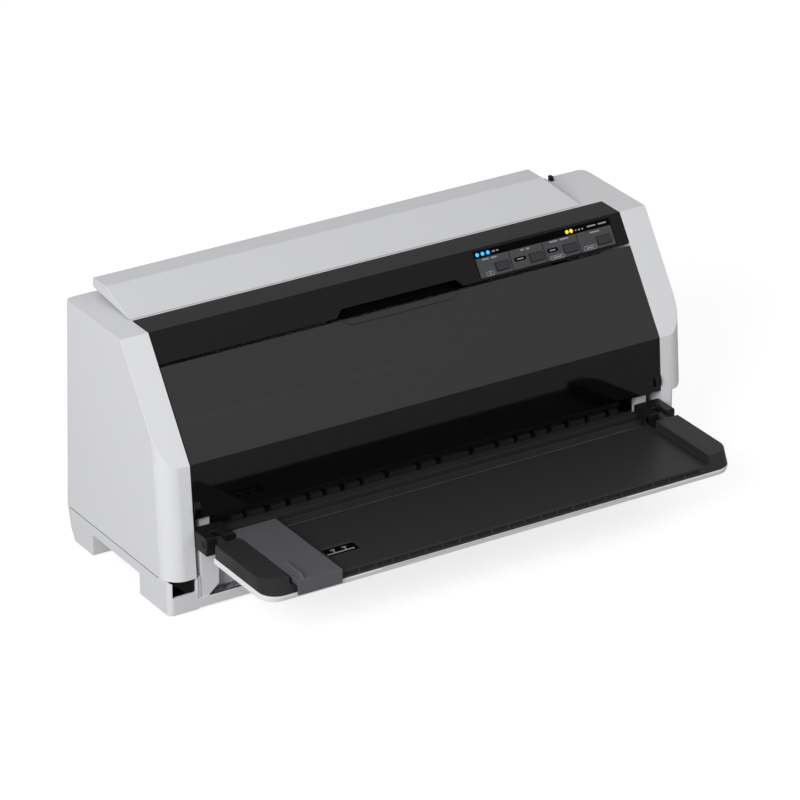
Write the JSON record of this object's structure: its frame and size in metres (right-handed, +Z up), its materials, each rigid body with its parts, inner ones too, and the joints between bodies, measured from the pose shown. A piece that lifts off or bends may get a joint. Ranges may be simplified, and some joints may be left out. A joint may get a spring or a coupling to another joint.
{
  "type": "dot matrix printer",
  "caption": "Wide flat-bed dot matrix printer with a smoky drop-down cover, folding paper tray, sliding edge guide, control keys and a raised rear paper guide.",
  "frame": {"origin": "centre of the footprint, on the table under the rubber feet", "axes": "+X to the printer's right seen from the front, -Y to the front where the tray is, +Z up"},
  "size_m": [0.48, 0.2712, 0.222],
  "materials": {
    "case_grey": "satin",
    "base_grey": "satin",
    "guide_grey": "satin",
    "white_skin": "satin",
    "bezel_black": "gloss",
    "smoky_cover": "gloss",
    "tray_black": "satin",
    "guide_mid": "satin",
    "panel_grey": "matte",
    "strip_black": "gloss",
    "key_black": "satin",
    "lens_blue": "gloss",
    "lens_yellow": "gloss",
    "feet_rubber": "matte",
    "roller_rubber": "matte",
    "steel": "brushed",
    "bright_steel": "polished",
    "board_green": "satin",
    "supply_tan": "satin",
    "white_acetal": "satin",
    "brass": "machined",
    "motor_black": "satin",
    "head_alloy": "cast",
    "black_plastic": "satin",
    "belt_rubber": "matte",
    "knob_grey": "satin"
  },
  "bodies": {
    "base": {"upper_case": "case_grey", "lower_case": "base_grey", "rubber_feet": "feet_rubber", "case_screws": "bright_steel", "front_bezel": "bezel_black", "control_panel": "panel_grey", "indicator_strip": "strip_black", "blue_indicators": "lens_blue", "yellow_indicators": "lens_yellow", "panel_board": "board_green", "hinge_pins": "bright_steel", "left_hinge_block": "tray_black", "right_hinge_block": "tray_black", "entry_guide": "tray_black", "power_switch_body": "black_plastic", "chassis_plate": "steel", "left_side_frame": "steel", "right_side_frame": "steel", "platen_bushes": "white_acetal", "feed_motor": "motor_black", "tractor_rail": "bright_steel", "rear_paper_plate": "steel", "guide_shaft": "bright_steel", "front_rail": "steel", "cross_plate": "steel", "carriage_motor": "motor_black", "timing_belt": "belt_rubber", "main_board": "board_green", "power_supply": "supply_tan", "power_inlet": "black_plastic"},
    "cover": {"front_cover": "smoky_cover"},
    "tray": {"paper_tray": "tray_black", "tray_underside": "white_skin"},
    "side_guide": {"edge_guide": "guide_mid"},
    "rocker": {"power_rocker": "black_plastic"},
    "tear_off_key": {"tear_off_button": "key_black"},
    "line_feed_key": {"line_feed_button": "key_black"},
    "load_key": {"load_button": "key_black"},
    "pause_key": {"pause_button": "key_black"},
    "top_guide": {"rear_guide": "guide_grey"},
    "lever": {"release_lever": "black_plastic"},
    "platen": {"platen_roller": "roller_rubber", "platen_shaft": "bright_steel", "platen_gear": "white_acetal", "feed_knob": "black_plastic"},
    "pinion": {"feed_pinion": "brass"},
    "tractor_drive": {"tractor_shaft": "bright_steel", "tractor_gear": "white_acetal"},
    "left_tractor_unit": {"left_tractor": "black_plastic"},
    "right_tractor_unit": {"right_tractor": "black_plastic"},
    "left_pin_wheel": {"left_sprocket": "white_acetal"},
    "right_pin_wheel": {"right_sprocket": "white_acetal"},
    "left_lid": {"left_tractor_lid": "black_plastic"},
    "right_lid": {"right_tractor_lid": "black_plastic"},
    "carriage_unit": {"carriage": "black_plastic", "print_head": "head_alloy", "ribbon_cartridge": "black_plastic"},
    "ribbon_winder": {"ribbon_knob": "knob_grey"},
    "drive_pulley": {"motor_pulley": "bright_steel"},
    "return_pulley": {"idler_pulley": "bright_steel"}
  },
  "joints": [
    {"name": "cover_hinge", "type": "hinge", "parent": "base", "child": "cover", "pos_m": [0, -0.01965, 0.084], "axis": [1, 0, 0], "range_deg": [0, 85]},
    {"name": "tray_hinge", "type": "hinge", "parent": "base", "child": "tray", "pos_m": [0, -0.04165, 0.0615], "axis": [1, 0, 0], "range_deg": [-65, 0]},
    {"name": "edge_guide_slide", "type": "slide", "parent": "tray", "child": "side_guide", "axis": [1, 0, 0], "range_m": [0, 0.15]},
    {"name": "rocker_pivot", "type": "hinge", "parent": "base", "child": "rocker", "pos_m": [-0.22625, -0.01915, 0.022], "axis": [0, 0, 1], "range_deg": [0, 12]},
    {"name": "tear_off_press", "type": "slide", "parent": "base", "child": "tear_off_key", "axis": [0, 0.8232, -0.5677], "range_m": [0, 0.001], "stiffness_N_per_m": 400, "springref_m": -0.0005},
    {"name": "line_feed_press", "type": "slide", "parent": "base", "child": "line_feed_key", "axis": [0, 0.8232, -0.5677], "range_m": [0, 0.001], "stiffness_N_per_m": 400, "springref_m": -0.0005},
    {"name": "load_press", "type": "slide", "parent": "base", "child": "load_key", "axis": [0, 0.8232, -0.5677], "range_m": [0, 0.001], "stiffness_N_per_m": 400, "springref_m": -0.0005},
    {"name": "pause_press", "type": "slide", "parent": "base", "child": "pause_key", "axis": [0, 0.8232, -0.5677], "range_m": [0, 0.001], "stiffness_N_per_m": 400, "springref_m": -0.0005},
    {"name": "top_guide_hinge", "type": "hinge", "parent": "base", "child": "top_guide", "pos_m": [0, 0.11485, 0.2152], "axis": [-1, 0, 0], "range_deg": [0, 90]},
    {"name": "lever_pivot", "type": "hinge", "parent": "base", "child": "lever", "pos_m": [0.205, 0.10935, 0.1], "axis": [-1, 0, 0], "range_deg": [0, 6]},
    {"name": "platen_turn", "type": "hinge", "parent": "base", "child": "platen", "pos_m": [0, 0.04535, 0.048], "axis": [1, 0, 0], "continuous": true},
    {"name": "pinion_turn", "type": "hinge", "parent": "base", "child": "pinion", "pos_m": [-0.2065, 0.07635, 0.048], "axis": [1, 0, 0], "continuous": true},
    {"name": "tractor_turn", "type": "hinge", "parent": "base", "child": "tractor_drive", "pos_m": [0, 0.0959, 0.06359], "axis": [1, 0, 0], "continuous": true},
    {"name": "left_tractor_slide", "type": "slide", "parent": "base", "child": "left_tractor_unit", "axis": [1, 0, 0], "range_m": [-0.03, 0.08]},
    {"name": "right_tractor_slide", "type": "slide", "parent": "base", "child": "right_tractor_unit", "axis": [1, 0, 0], "range_m": [-0.08, 0.04]},
    {"name": "left_pin_wheel_turn", "type": "hinge", "parent": "left_tractor_unit", "child": "left_pin_wheel", "pos_m": [-0.11, 0.0959, 0.06359], "axis": [1, 0, 0], "continuous": true},
    {"name": "right_pin_wheel_turn", "type": "hinge", "parent": "right_tractor_unit", "child": "right_pin_wheel", "pos_m": [0.12, 0.0959, 0.06359], "axis": [1, 0, 0], "continuous": true},
    {"name": "left_lid_hinge", "type": "hinge", "parent": "left_tractor_unit", "child": "left_lid", "pos_m": [-0.12, 0.0959, 0.07999], "axis": [0, -1, 0], "range_deg": [0, 100]},
    {"name": "right_lid_hinge", "type": "hinge", "parent": "right_tractor_unit", "child": "right_lid", "pos_m": [0.13, 0.0959, 0.07999], "axis": [0, 1, 0], "range_deg": [0, 100]},
    {"name": "carriage_slide", "type": "slide", "parent": "base", "child": "carriage_unit", "axis": [1, 0, 0], "range_m": [-0.262, 0]},
    {"name": "ribbon_winder_turn", "type": "hinge", "parent": "carriage_unit", "child": "ribbon_winder", "pos_m": [0.162, 0.01535, 0.12], "axis": [0, 0, 1], "continuous": true},
    {"name": "drive_pulley_turn", "type": "hinge", "parent": "base", "child": "drive_pulley", "pos_m": [-0.178, 0.09535, 0.109], "axis": [0, 0, 1], "range_deg": [-1746, 0]},
    {"name": "return_pulley_turn", "type": "hinge", "parent": "base", "child": "return_pulley", "pos_m": [0.185, 0.09535, 0.109], "axis": [0, 0, 1], "range_deg": [-1746, 0]}
  ],
  "couplings": [
    {"joint": "pinion_turn", "follows": "platen_turn", "ratio": -3.4286},
    {"joint": "tractor_turn", "follows": "platen_turn", "ratio": 1.3333},
    {"joint": "left_pin_wheel_turn", "follows": "platen_turn", "ratio": 1.3333},
    {"joint": "right_pin_wheel_turn", "follows": "platen_turn", "ratio": 1.3333},
    {"joint": "drive_pulley_turn", "follows": "carriage_slide", "rad_per_m": 116.28},
    {"joint": "return_pulley_turn", "follows": "carriage_slide", "rad_per_m": 116.28}
  ]
}
